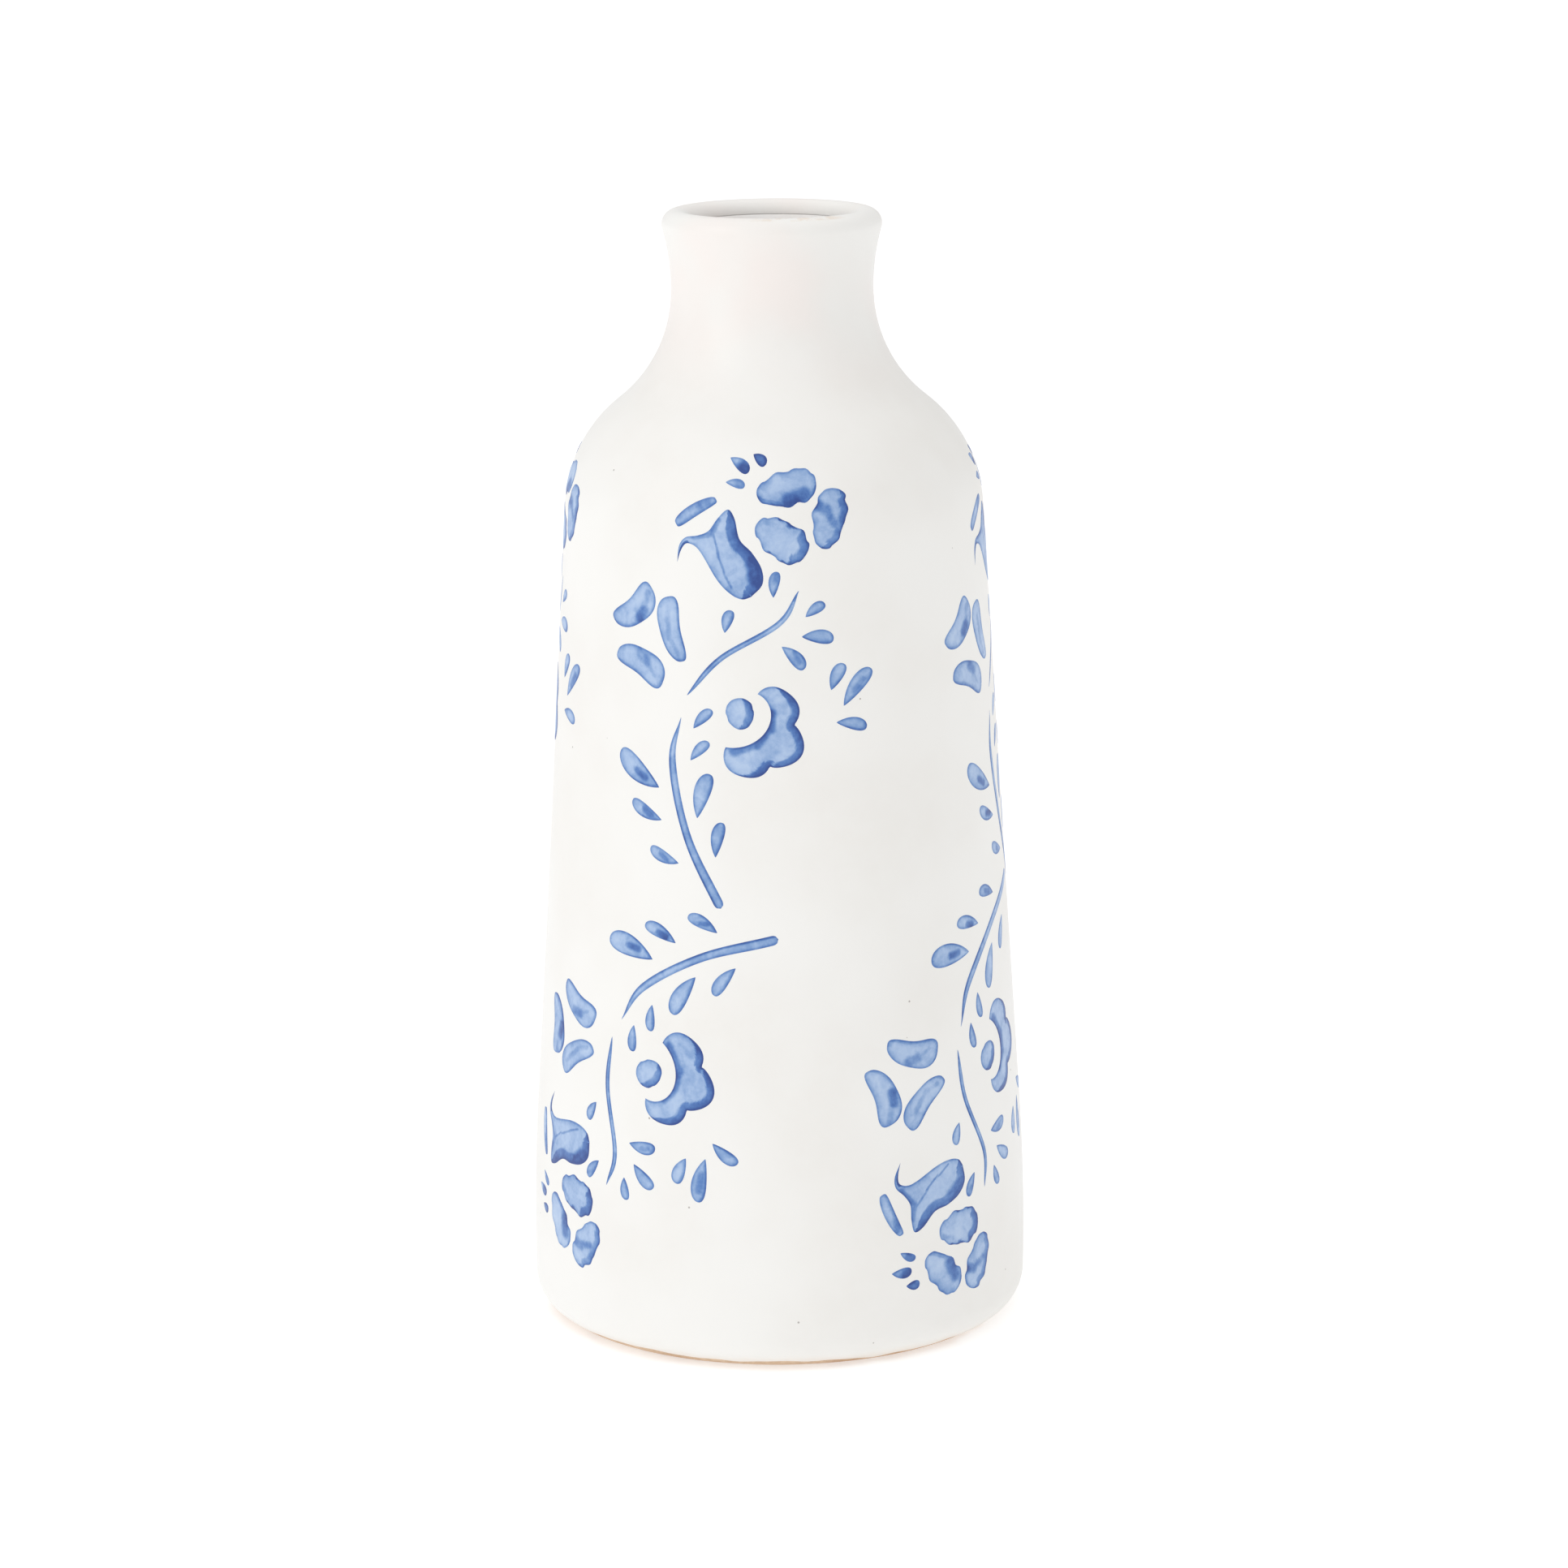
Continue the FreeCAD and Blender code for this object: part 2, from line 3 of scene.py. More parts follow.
import bmesh
import bpy
import numpy as np
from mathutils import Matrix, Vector


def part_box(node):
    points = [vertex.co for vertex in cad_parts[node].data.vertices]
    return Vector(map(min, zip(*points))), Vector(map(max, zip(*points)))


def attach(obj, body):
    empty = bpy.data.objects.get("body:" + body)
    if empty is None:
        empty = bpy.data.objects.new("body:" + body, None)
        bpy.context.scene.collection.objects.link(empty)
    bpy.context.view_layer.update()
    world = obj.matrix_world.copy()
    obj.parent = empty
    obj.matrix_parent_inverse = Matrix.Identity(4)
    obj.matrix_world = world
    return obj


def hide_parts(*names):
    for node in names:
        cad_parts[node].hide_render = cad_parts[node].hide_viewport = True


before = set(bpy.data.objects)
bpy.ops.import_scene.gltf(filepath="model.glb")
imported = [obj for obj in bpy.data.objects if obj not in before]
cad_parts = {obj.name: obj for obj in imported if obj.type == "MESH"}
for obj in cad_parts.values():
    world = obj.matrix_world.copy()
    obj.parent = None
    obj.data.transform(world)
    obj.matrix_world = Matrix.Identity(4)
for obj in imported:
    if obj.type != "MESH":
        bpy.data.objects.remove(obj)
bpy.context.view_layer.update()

# The looks of a porcelain vase: smooth glazed shells, a bare clay foot and watercolour-blue transfers.
# Lengths are in millimetres until a mesh is made, because the vase was designed in them.
MM = 0.001


# ---- the vase's outline, from the frame's sizes ---------------------------------------------------

GLAZE_BOX = [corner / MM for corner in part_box("outer_glaze")]
CLAY_BOX = [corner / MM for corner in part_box("clay_body")]
LINING_BOX = [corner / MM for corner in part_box("inner_glaze")]

BODY_RADIUS = round(GLAZE_BOX[1].x, 1)
HEIGHT = GLAZE_BOX[1].z
COAT = round(GLAZE_BOX[1].z - CLAY_BOX[1].z, 2)
WALL = 3.2
FLOOR = LINING_BOX[0].z + COAT
WIDEST_HEIGHT = 12.0
HEEL_RADIUS = 6.25
HEEL_HEIGHT = 6.0
BLEND_RADIUS = 350.0
TAPER = math.radians(3.5)
SHOULDER_HEIGHT = 131.0
SHOULDER_RADIUS = 22.7
NECK_RADIUS = 16.0
NECK_CURVE_RADIUS = 22.4
LIP_RADIUS = 2.3
FLOOR_CORNER_RADIUS = 9.0
FOOT_RING_WIDTH = 4.4
FOOT_RECESS = 1.6

BLEND_CENTRE = (BODY_RADIUS - BLEND_RADIUS, WIDEST_HEIGHT)
LIP_CENTRE = (NECK_RADIUS - WALL + LIP_RADIUS, HEIGHT - LIP_RADIUS)


def off_centre(centre, radius, angle):
    return centre[0] + radius * math.cos(angle), centre[1] + radius * math.sin(angle)


def bearing(centre, place):
    return math.atan2(place[1] - centre[1], place[0] - centre[0])


BLEND_TOP = off_centre(BLEND_CENTRE, BLEND_RADIUS, TAPER)
TAPER_TOP_HEIGHT = SHOULDER_HEIGHT + SHOULDER_RADIUS * math.sin(TAPER)
TAPER_TOP_RADIUS = BLEND_TOP[0] - (TAPER_TOP_HEIGHT - BLEND_TOP[1]) * math.tan(TAPER)
SHOULDER_CENTRE = (TAPER_TOP_RADIUS - SHOULDER_RADIUS * math.cos(TAPER), SHOULDER_HEIGHT)
NECK_ACROSS = NECK_RADIUS + NECK_CURVE_RADIUS - SHOULDER_CENTRE[0]
NECK_RISE = math.sqrt((SHOULDER_RADIUS + NECK_CURVE_RADIUS) ** 2 - NECK_ACROSS**2)
NECK_CENTRE = (NECK_RADIUS + NECK_CURVE_RADIUS, SHOULDER_HEIGHT + NECK_RISE)
SHOULDER_TURN = bearing(SHOULDER_CENTRE, NECK_CENTRE)
FLARE_ACROSS = NECK_RADIUS - LIP_CENTRE[0]
FLARE_RISE = LIP_CENTRE[1] - NECK_CENTRE[1]
FLARE_RADIUS = (FLARE_ACROSS**2 + FLARE_RISE**2 - LIP_RADIUS**2) / (2 * (LIP_RADIUS - FLARE_ACROSS))
FLARE_CENTRE = (NECK_RADIUS + FLARE_RADIUS, NECK_CENTRE[1])


def arc(centre, radius, first, last, spacing=1.1):
    count = max(4, math.ceil(abs(last - first) * radius / spacing))
    return [off_centre(centre, radius, first + (last - first) * k / count) for k in range(count + 1)]


def line(start, end, spacing=1.6):
    count = max(1, math.ceil(math.dist(start, end) / spacing))
    return [
        (start[0] + (end[0] - start[0]) * k / count, start[1] + (end[1] - start[1]) * k / count)
        for k in range(count + 1)
    ]


def joined(*runs):
    """One run of places, with the places where two runs meet kept once."""
    places = []
    for run in runs:
        places += run if not places else run[1:]
    return places


def corner_centre(radius, height, depth):
    reach = BLEND_RADIUS - depth - radius
    return BLEND_CENTRE[0] + math.sqrt(reach**2 - (height - BLEND_CENTRE[1]) ** 2), height


def wall_run(depth, start_angle):
    """Blend curve, straight taper, shoulder and neck at a depth under the glazed surface."""
    blend = arc(BLEND_CENTRE, BLEND_RADIUS - depth, start_angle, TAPER)
    shoulder = arc(SHOULDER_CENTRE, SHOULDER_RADIUS - depth, TAPER, SHOULDER_TURN)
    neck = arc(NECK_CENTRE, NECK_CURVE_RADIUS + depth, SHOULDER_TURN + math.pi, math.pi)
    return joined(blend, line(blend[-1], shoulder[0]), shoulder, neck)


def outside_run(depth, foot_height):
    """From the foot up the outside and over the lip to the mouth's inner side."""
    heel = corner_centre(HEEL_RADIUS, HEEL_HEIGHT, depth)
    heel_turn = bearing(BLEND_CENTRE, heel)
    foot_turn = math.asin((foot_height - HEEL_HEIGHT) / HEEL_RADIUS)
    lip_turn = bearing(LIP_CENTRE, FLARE_CENTRE)
    return joined(
        arc(heel, HEEL_RADIUS, foot_turn, heel_turn, spacing=0.25),
        wall_run(depth, heel_turn),
        arc(FLARE_CENTRE, FLARE_RADIUS + depth, math.pi, lip_turn + math.pi),
        arc(LIP_CENTRE, LIP_RADIUS - depth, lip_turn, math.pi, spacing=0.2),
    )


def hollow_run(depth):
    """From the middle of the floor up the inside to the mouth."""
    coat = WALL - depth
    radius = FLOOR_CORNER_RADIUS + coat
    floor = FLOOR - coat
    centre = corner_centre(radius, floor + radius, depth)
    turn = bearing(BLEND_CENTRE, centre)
    throat = NECK_RADIUS - depth
    return joined(
        line((0, floor), (centre[0], floor)),
        arc(centre, radius, -math.pi / 2, turn),
        wall_run(depth, turn),
        line((throat, NECK_CENTRE[1]), (throat, LIP_CENTRE[1])),
    )


def surface_radius(height):
    """Outer radius of the glaze between the heel and the waist of the neck."""
    height = np.asarray(height, float)

    def reach(radius, centre):
        return np.sqrt(np.clip(radius**2 - (height - centre[1]) ** 2, 0, None))

    blend = BLEND_CENTRE[0] + reach(BLEND_RADIUS, BLEND_CENTRE)
    taper = BLEND_TOP[0] - (height - BLEND_TOP[1]) * math.tan(TAPER)
    shoulder = SHOULDER_CENTRE[0] + reach(SHOULDER_RADIUS, SHOULDER_CENTRE)
    neck = NECK_CENTRE[0] - reach(NECK_CURVE_RADIUS, NECK_CENTRE)
    turn_height = off_centre(SHOULDER_CENTRE, SHOULDER_RADIUS, SHOULDER_TURN)[1]
    steps = [height < BLEND_TOP[1], height < TAPER_TOP_HEIGHT, height < turn_height]
    return np.select(steps, [blend, taper, shoulder], neck)


OVAL_SHARE = 0.0022  # how far from round the wall is, as shares of its radius
THREE_SIDED_SHARE = 0.0012
DRIFT_SHARE = 0.0010
DRIFT_FROM = 40.0  # the height from which it drifts in full


def wobble(angle, height):
    """How far the hand-finished wall stands out from a true circle, as a share of the radius."""
    oval_part = OVAL_SHARE * np.sin(2 * angle + 0.6 + height / 60)
    three_sided = THREE_SIDED_SHARE * np.sin(3 * angle - 1.1 - height / 35)
    drift = DRIFT_SHARE * np.sin(height / 17 + 2 * np.cos(angle))
    return oval_part + three_sided + drift * np.clip(height / DRIFT_FROM, 0, 1)


def on_vase(angle, height, radius):
    """Angle counts from the front, towards the right. Gives metres."""
    reach = radius * (1 + wobble(angle, height))
    return np.stack([reach * np.sin(angle), -reach * np.cos(angle), height], -1) * MM


# ---- meshes ---------------------------------------------------------------------------------------

SIDES = 216  # steps round the vase


def new_object(name, vertices, faces, attributes=None):
    """A smooth-shaded mesh object. The attributes hold a number for each vertex."""
    mesh = bpy.data.meshes.new(name)
    mesh.from_pydata([tuple(v) for v in vertices], [], faces)
    for key, values in (attributes or {}).items():
        mesh.attributes.new(key, "FLOAT", "POINT").data.foreach_set("value", values)
    mesh.polygons.foreach_set("use_smooth", [True] * len(mesh.polygons))
    mesh.update()
    piece = bpy.data.objects.new(name, mesh)
    bpy.context.scene.collection.objects.link(piece)
    return piece


def merge(piece, distance=1e-7):
    """Joins the vertices that lie together, and turns every face outwards."""
    work = bmesh.new()
    work.from_mesh(piece.data)
    bmesh.ops.remove_doubles(work, verts=work.verts, dist=distance)
    bmesh.ops.dissolve_degenerate(work, edges=work.edges, dist=distance)
    bmesh.ops.recalc_face_normals(work, faces=work.faces)
    work.to_mesh(piece.data)
    work.free()


def grid_faces(rows, columns, first=0, closed=False):
    """Quads of a grid of vertices from number first on. A closed grid joins up both ways."""
    faces = []
    for row in range(rows if closed else rows - 1):
        here = first + row * columns
        ahead = first + (row + 1) % rows * columns
        for k in range(columns if closed else columns - 1):
            after = (k + 1) % columns
            faces.append((here + k, ahead + k, ahead + after, here + after))
    return faces


def turned_shell(name, outline, shift=None):
    """A closed outline turned round the axis. shift moves the outline's places by their angle."""
    radius, height = np.array(outline, float).T
    angle = np.linspace(0, 2 * math.pi, SIDES, endpoint=False)[:, None]
    angle = np.repeat(angle, len(outline), axis=1)
    radius = np.repeat(radius[None], SIDES, axis=0)
    height = np.repeat(height[None], SIDES, axis=0)
    if shift is not None:
        height = shift(angle, height)
    places = on_vase(angle, height, radius).reshape(-1, 3)
    piece = new_object(name, places, grid_faces(SIDES, len(outline), closed=True))
    merge(piece)
    return piece


# ---- materials ------------------------------------------------------------------------------------


class Nodes:
    """A short way to write a material's node tree."""

    def __init__(self, name):
        self.material = bpy.data.materials.new(name)
        self.material.use_nodes = True
        self.tree = self.material.node_tree
        self.shader = self.tree.nodes["Principled BSDF"]

    def add(self, kind, **values):
        """A node, with inputs set by name or joined to another node's output."""
        node = self.tree.nodes.new(kind)
        for key, value in values.items():
            if hasattr(node, key) and key not in node.inputs:
                setattr(node, key, value)
                continue
            self.put(node, key, value)
        return node

    def put(self, node, key, value):
        """Sets an input given by its name, or by its number as in0, in1 and so on."""
        numbered = key.startswith("in") and key[2:].isdigit()
        socket = node.inputs[int(key[2:]) if numbered else key]
        if isinstance(value, bpy.types.NodeSocket):
            self.tree.links.new(value, socket)
        else:
            socket.default_value = value

    def where(self):
        return self.add("ShaderNodeTexCoord").outputs["Object"]

    def noise(self, scale, detail=3.0, roughness=0.5, distortion=0.0):
        node = self.add("ShaderNodeTexNoise", Vector=self.where(), Scale=scale, Detail=detail)
        node.inputs["Roughness"].default_value = roughness
        node.inputs["Distortion"].default_value = distortion
        return node.outputs["Fac"]

    def math(self, operation, first, second=0.0, clamp=False):
        node = self.add("ShaderNodeMath", operation=operation, use_clamp=clamp)
        self.put(node, "in0", first)
        self.put(node, "in1", second)
        return node.outputs[0]

    def span(self, value, low, high, to_low=0.0, to_high=1.0):
        """Maps a stretch of values smoothly onto another."""
        node = self.add("ShaderNodeMapRange", interpolation_type="SMOOTHSTEP")
        for number, item in enumerate((value, low, high, to_low, to_high)):
            self.put(node, f"in{number}", item)
        return node.outputs[0]

    def mix(self, share, first, second):
        node = self.add("ShaderNodeMix", data_type="RGBA")
        self.put(node, "in0", share)
        self.put(node, "in6", first)
        self.put(node, "in7", second)
        return node.outputs[2]

    def ramp(self, value, stops):
        node = self.add("ShaderNodeValToRGB", Fac=value)
        band = node.color_ramp
        while len(band.elements) < len(stops):
            band.elements.new(0.5)
        for element, (place, colour) in zip(band.elements, stops):
            element.position = place
            element.color = colour
        return node.outputs["Color"]

    def axis(self, name):
        return self.add("ShaderNodeSeparateXYZ", Vector=self.where()).outputs[name]

    def bump(self, height, strength, distance, under=None):
        node = self.add("ShaderNodeBump", Height=height, Strength=strength, Distance=distance)
        if under is not None:
            self.put(node, "Normal", under)
        return node.outputs["Normal"]

    def finish(self, **values):
        """Sets the shader's inputs, named with _ for each space, and gives back the material."""
        for key, value in values.items():
            self.put(self.shader, key.replace("_", " "), value)
        return self.material


def linear(red, green, blue):
    """A colour given as it looks on a screen, 0 to 255."""
    channels = [c / 255 for c in (red, green, blue)]
    return tuple(c / 12.92 if c <= 0.04045 else ((c + 0.055) / 1.055) ** 2.4 for c in channels) + (1,)


def specks(nodes, per_metre, radius):
    """Tiny round iron spots: 1 inside one, thinly scattered where spheres in space cut the surface."""
    cells = nodes.add("ShaderNodeTexVoronoi", Vector=nodes.where(), Scale=per_metre)
    reach = radius * per_metre
    return nodes.span(cells.outputs["Distance"], reach * 0.6, reach, 1.0, 0.0)


NECK_BLUSH = (148 * MM, 168 * MM)  # the heights between which the neck turns rosy
THIN_GLAZE = (-0.4 * MM, 2.0 * MM)  # over the foot, before the ragged edge is added
LIP_CREST = ((HEIGHT - 0.5) * MM, (HEIGHT - 0.2) * MM)
SPECKS_PER_METRE = 112.0
SPECK_RADIUS = 0.21 * MM


def glaze_material(name, white, warm):
    """A satin white glaze: uneven in tone, warm where it is thin, with a faintly rippled skin."""
    nodes = Nodes(name)
    height = nodes.axis("Z")
    broad = nodes.noise(38.0, detail=2.0)
    fine = nodes.noise(240.0, detail=4.0, roughness=0.6)
    tone = nodes.mix(nodes.span(broad, 0.35, 0.68), white, warm)
    tone = nodes.mix(nodes.span(fine, 0.3, 0.75, 0.0, 0.35), tone, white)
    rosy = nodes.span(broad, 0.42, 0.66, 0.0, 0.6)
    blush = nodes.math("MULTIPLY", nodes.span(height, *NECK_BLUSH), rosy)
    tone = nodes.mix(blush, tone, linear(243, 233, 229))
    # thin and warm where it pulled back from the foot
    ragged = nodes.math("ADD", height, nodes.math("MULTIPLY", fine, -1.6 * MM))
    tone = nodes.mix(nodes.span(ragged, *THIN_GLAZE, 0.4, 0.0), tone, linear(232, 214, 194))
    # rubbed along the crest of the lip, at the front right
    crest = nodes.span(height, *LIP_CREST)
    rubbed = nodes.span(nodes.noise(420.0, detail=5.0, roughness=0.7), 0.42, 0.60, 0.0, 0.5)
    rubbed = nodes.math("MULTIPLY", rubbed, nodes.span(nodes.axis("X"), -6 * MM, 1 * MM))
    rubbed = nodes.math("MULTIPLY", rubbed, nodes.span(nodes.axis("Y"), -11 * MM, -13 * MM))
    tone = nodes.mix(nodes.math("MULTIPLY", crest, rubbed), tone, linear(226, 206, 186))
    iron = nodes.math("MULTIPLY", specks(nodes, SPECKS_PER_METRE, SPECK_RADIUS), 0.6)
    tone = nodes.mix(iron, tone, linear(120, 108, 98))
    ripple = nodes.bump(nodes.noise(420.0, detail=2.0), 0.10, 0.06 * MM)
    ripple = nodes.bump(broad, 0.30, 0.4 * MM, under=ripple)
    return nodes.finish(
        Base_Color=tone,
        Roughness=nodes.span(fine, 0.25, 0.75, 0.42, 0.52),
        IOR=1.5,
        Specular_IOR_Level=0.42,
        Coat_Weight=0.22,
        Coat_Roughness=0.32,
        Normal=ripple,
    )


def clay_material():
    """Bare fired clay: tan, cloudy and grainy."""
    nodes = Nodes("fired_clay")
    grain = nodes.noise(900.0, detail=6.0, roughness=0.7)
    cloud = nodes.noise(70.0, detail=3.0)
    body = nodes.mix(nodes.span(cloud, 0.35, 0.65), linear(224, 200, 174), linear(206, 174, 144))
    body = nodes.mix(nodes.span(grain, 0.35, 0.7, 0.0, 0.5), body, linear(180, 142, 112))
    return nodes.finish(
        Base_Color=body,
        Roughness=0.86,
        Specular_IOR_Level=0.25,
        Normal=nodes.bump(grain, 0.5, 0.08 * MM),
    )


INK_STOPS = [  # how much ink, and the colour it gives
    (0.00, linear(190, 208, 232)),
    (0.26, linear(163, 187, 222)),
    (0.45, linear(130, 161, 206)),
    (0.66, linear(86, 127, 188)),
    (0.84, linear(58, 98, 166)),
    (1.00, linear(38, 70, 140)),
]


def transfer_material():
    """Watercolour blue: the mesh says how much ink lies where, and noise pools it a little."""
    nodes = Nodes("blue_transfer")
    ink = nodes.add("ShaderNodeAttribute", attribute_name="ink").outputs["Fac"]
    pool = nodes.noise(330.0, detail=3.0, distortion=0.8)
    grain = nodes.noise(1500.0, detail=3.0, roughness=0.65)
    ink = nodes.math("ADD", ink, nodes.span(pool, 0.25, 0.75, -0.11, 0.11))
    ink = nodes.math("ADD", ink, nodes.span(grain, 0.25, 0.75, -0.05, 0.05), clamp=True)
    return nodes.finish(
        Base_Color=nodes.ramp(ink, INK_STOPS),
        Roughness=nodes.span(grain, 0.2, 0.8, 0.40, 0.5),
        Specular_IOR_Level=0.42,
        Coat_Weight=0.2,
        Coat_Roughness=0.32,
        Normal=nodes.bump(pool, 0.12, 0.05 * MM),
    )


# ---- the glazed shells and the clay ---------------------------------------------------------------

SETTLE = 0.004  # a hair between two coats, so that their faces never lie in each other
GLAZE_FOOT = 0.16  # the lowest point of the coat's edge
GLAZE_LINE_RISE = 0.42  # how much higher the edge is at the front left
GLAZE_LINE_FADE = 2.5  # the height over which the uneven edge dies away


def glaze_line(angle):
    """How far above the bare foot the coat starts: highest at the front left, uneven all round."""
    lean = GLAZE_LINE_RISE * (1 + np.cos(angle + 0.75)) / 2
    ripple = 0.05 * np.sin(9 * angle + 1) + 0.04 * np.sin(23 * angle + 2) + 0.02 * np.sin(41 * angle)
    return lean + ripple


def uneven_foot(angle, height):
    """Lifts the coat's lower edge by the uneven glaze line, dying away up the heel."""
    fade = np.clip(1 - (height - GLAZE_FOOT) / GLAZE_LINE_FADE, 0, 1)
    return height + glaze_line(angle) * fade * (height < HEEL_HEIGHT)


def build_outer_glaze():
    """The coat outside, from the uneven line over the foot to the mouth."""
    outside = outside_run(0, GLAZE_FOOT)
    inside = outside_run(COAT - SETTLE, GLAZE_FOOT)
    piece = turned_shell("glazed_outside", outside + inside[::-1], shift=uneven_foot)
    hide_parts("outer_glaze")
    return piece


def build_inner_glaze():
    """The lining, from the middle of the floor to the mouth."""
    piece = turned_shell("glazed_lining", hollow_run(WALL) + hollow_run(WALL - COAT + SETTLE)[::-1])
    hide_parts("inner_glaze")
    return piece


def build_clay():
    """The clay between the coats, with its standing ring and the recess under the floor."""
    outside = outside_run(COAT, 0)
    hollow = hollow_run(WALL - COAT)
    ring = outside[0][0] - FOOT_RING_WIDTH
    underside = joined(
        line((0, FOOT_RECESS), (ring - FOOT_RECESS, FOOT_RECESS)),
        line((ring - FOOT_RECESS, FOOT_RECESS), (ring, 0), spacing=0.5),
        line((ring, 0), outside[0], spacing=0.8),
    )
    piece = turned_shell("fired_clay_body", underside + outside[1:] + hollow[::-1][1:])
    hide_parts("clay_body")
    return piece


# ---- the transfers --------------------------------------------------------------------------------

# One spray is drawn flat, in millimetres from the heart of its rose: x to the right, y upwards.
# Every transfer is that spray, upright or flipped, turned a little and wrapped around the vase.

LEAF_FULLNESS = 0.57
LEAF_BEND = 0.05  # as a share of the leaf's length
LEAVES = [  # pointed end, round end, width
    ((-2.0, 39.0), (1.0, 37.0), 1.9),
    ((1.5, 39.5), (3.5, 38.0), 1.7),
    ((-2.5, 35.5), (0.5, 35.0), 1.5),
    ((5.0, 18.0), (5.5, 22.0), 1.9),
    ((-2.5, 12.5), (-1.5, 16.0), 2.0),
    ((10.0, 15.0), (13.0, 17.0), 1.9),
    ((9.5, 12.0), (14.5, 11.5), 2.4),
    ((6.5, 10.5), (10.0, 7.0), 2.3),
    ((14.0, 3.5), (16.0, 7.5), 2.4),
    ((16.0, 1.0), (20.5, 6.5), 2.8),
    ((15.0, -1.5), (20.0, -2.5), 2.2),
    ((-7.5, -2.5), (-4.5, 0.5), 1.9),
    ((-8.0, -7.5), (-5.0, -4.5), 1.9),
    ((-13.5, -12.5), (-21.0, -7.5), 3.9),
    ((-13.0, -17.5), (-18.5, -15.0), 2.4),
    ((-10.0, -24.0), (-15.0, -22.0), 2.2),
    ((-7.0, -16.5), (-5.0, -9.5), 3.0),
    ((-4.0, -22.5), (-3.0, -17.0), 2.3),
]
BEANS = [  # middle, length, width, direction in degrees, bend towards the middle of the trio
    ((-18.3, 15.3), 9.6, 5.0, 36, -1.2),
    ((-11.0, 12.5), 10.2, 4.3, 104, 0.9),
    ((-17.0, 6.6), 9.8, 5.0, -22, 1.0),
]
PETALS = [  # middle, length, width, direction in degrees, the wave's start
    ((6.9, 34.5), 9.2, 5.2, 10, 0.3),
    ((13.7, 29.8), 9.2, 5.2, 80, 2.1),
    ((6.3, 26.9), 9.0, 5.7, -35, 4.0),
]
STEMS = [  # places along the stem, its widths at the start and the end, the tapers there
    ([(-8.5, 2.5), (-3.0, 8.5), (6.0, 14.0), (9.0, 19.0)], 0.5, 0.4, 5.0, 5.0),
    ([(-3.0, -30.5), (-8.5, -19.5), (-11.0, -8.0), (-9.5, -1.0)], 1.4, 0.3, 0.8, 6.0),
]
STEM_SWELL = 0.5  # how much wider a stem is at its middle
STEM_RIPPLE = 0.10
BAR = ((-10.5, 29.0), (-4.0, 33.0), 1.9)
HEART = (4.9, 4.3)  # length and width of the rose's heart
HEART_DIRECTION = 100
ROSE_OUTER = {"middle": (2.7, -2.6), "reach": 5.7, "lobe": 2.0, "ripple": 0.16, "span": (90, -152)}
ROSE_INNER_REACH = 4.8
ROSE_LENGTH = 24.0  # along the longer side, which sets the rows of its mesh
TULIP_LENGTH = 24.0
TULIP_UPPER = [
    (-10.2, 23.0), (-9.9, 25.5), (-8.8, 26.9), (-6.8, 27.3), (-5.0, 28.1), (-3.6, 30.0), (-2.0, 31.4),
    (-0.9, 30.0), (-0.1, 26.9), (1.8, 24.9), (3.3, 22.4), (3.4, 20.0), (1.7, 18.1),
]
TULIP_LOWER = [
    (-10.2, 23.0), (-9.6, 24.8), (-8.8, 25.9), (-7.8, 25.9), (-6.8, 25.3), (-5.8, 24.0), (-4.7, 22.2),
    (-3.8, 20.8), (-2.8, 19.6), (-1.8, 18.7), (-0.7, 18.0), (0.5, 17.7), (1.7, 18.1),
]
ACCENTS = [  # a stroke of a fuller brush: start, end, width, strength
    ((0.0, 37.8), (0.6, 37.4), 1.5, 0.5),
    ((2.2, 39.0), (2.9, 38.6), 2.0, 0.45),
    ((-0.9, 35.3), (-0.1, 35.1), 1.1, 0.3),
    ((-6.4, 31.6), (-4.9, 32.5), 1.1, 0.26),
    ((7.4, 32.7), (9.6, 33.9), 2.2, 0.52),
    ((12.0, 31.8), (13.2, 31.2), 1.7, 0.42),
    ((13.2, 31.2), (14.6, 29.0), 1.2, 0.36),
    ((3.6, 29.6), (6.0, 29.0), 0.7, 0.14),
    ((1.9, 23.6), (2.6, 20.4), 2.4, 0.56),
    ((-4.1, 27.6), (-3.5, 24.6), 0.36, 0.3),
    ((-3.5, 24.6), (-2.6, 21.6), 0.36, 0.34),
    ((-2.6, 21.6), (-1.4, 19.4), 0.36, 0.3),
    ((-7.6, 26.9), (-4.3, 27.5), 0.8, 0.2),
    ((-4.3, 27.5), (-3.2, 29.8), 0.8, 0.24),
    ((-15.4, 17.9), (-16.6, 14.6), 1.1, 0.2),
    ((-16.2, 15.2), (-17.2, 13.9), 1.7, 0.5),
    ((-16.8, 8.2), (-15.6, 7.2), 1.6, 0.3),
    ((-15.6, 7.2), (-14.4, 5.0), 0.6, 0.16),
    ((-11.9, 15.0), (-11.4, 11.0), 0.9, 0.2),
    ((-11.4, 11.0), (-10.2, 8.8), 0.7, 0.16),
    ((5.5, 20.4), (5.4, 21.4), 0.8, 0.22),
    ((8.2, 9.2), (9.2, 8.0), 0.8, 0.24),
    ((17.8, 3.2), (19.2, 5.0), 1.1, 0.3),
    ((-16.0, -11.1), (-17.6, -9.9), 1.2, 0.46),
    ((-14.8, -16.6), (-16.0, -16.1), 1.1, 0.46),
    ((-12.0, -23.3), (-13.0, -22.8), 0.9, 0.36),
    ((4.8, 0.2), (4.6, -2.4), 1.5, 0.36),
    ((4.6, -2.4), (2.8, -4.8), 1.5, 0.4),
    ((2.8, -4.8), (-1.2, -5.9), 1.4, 0.36),
    ((8.7, 1.2), (7.7, -0.9), 1.0, 0.2),
]
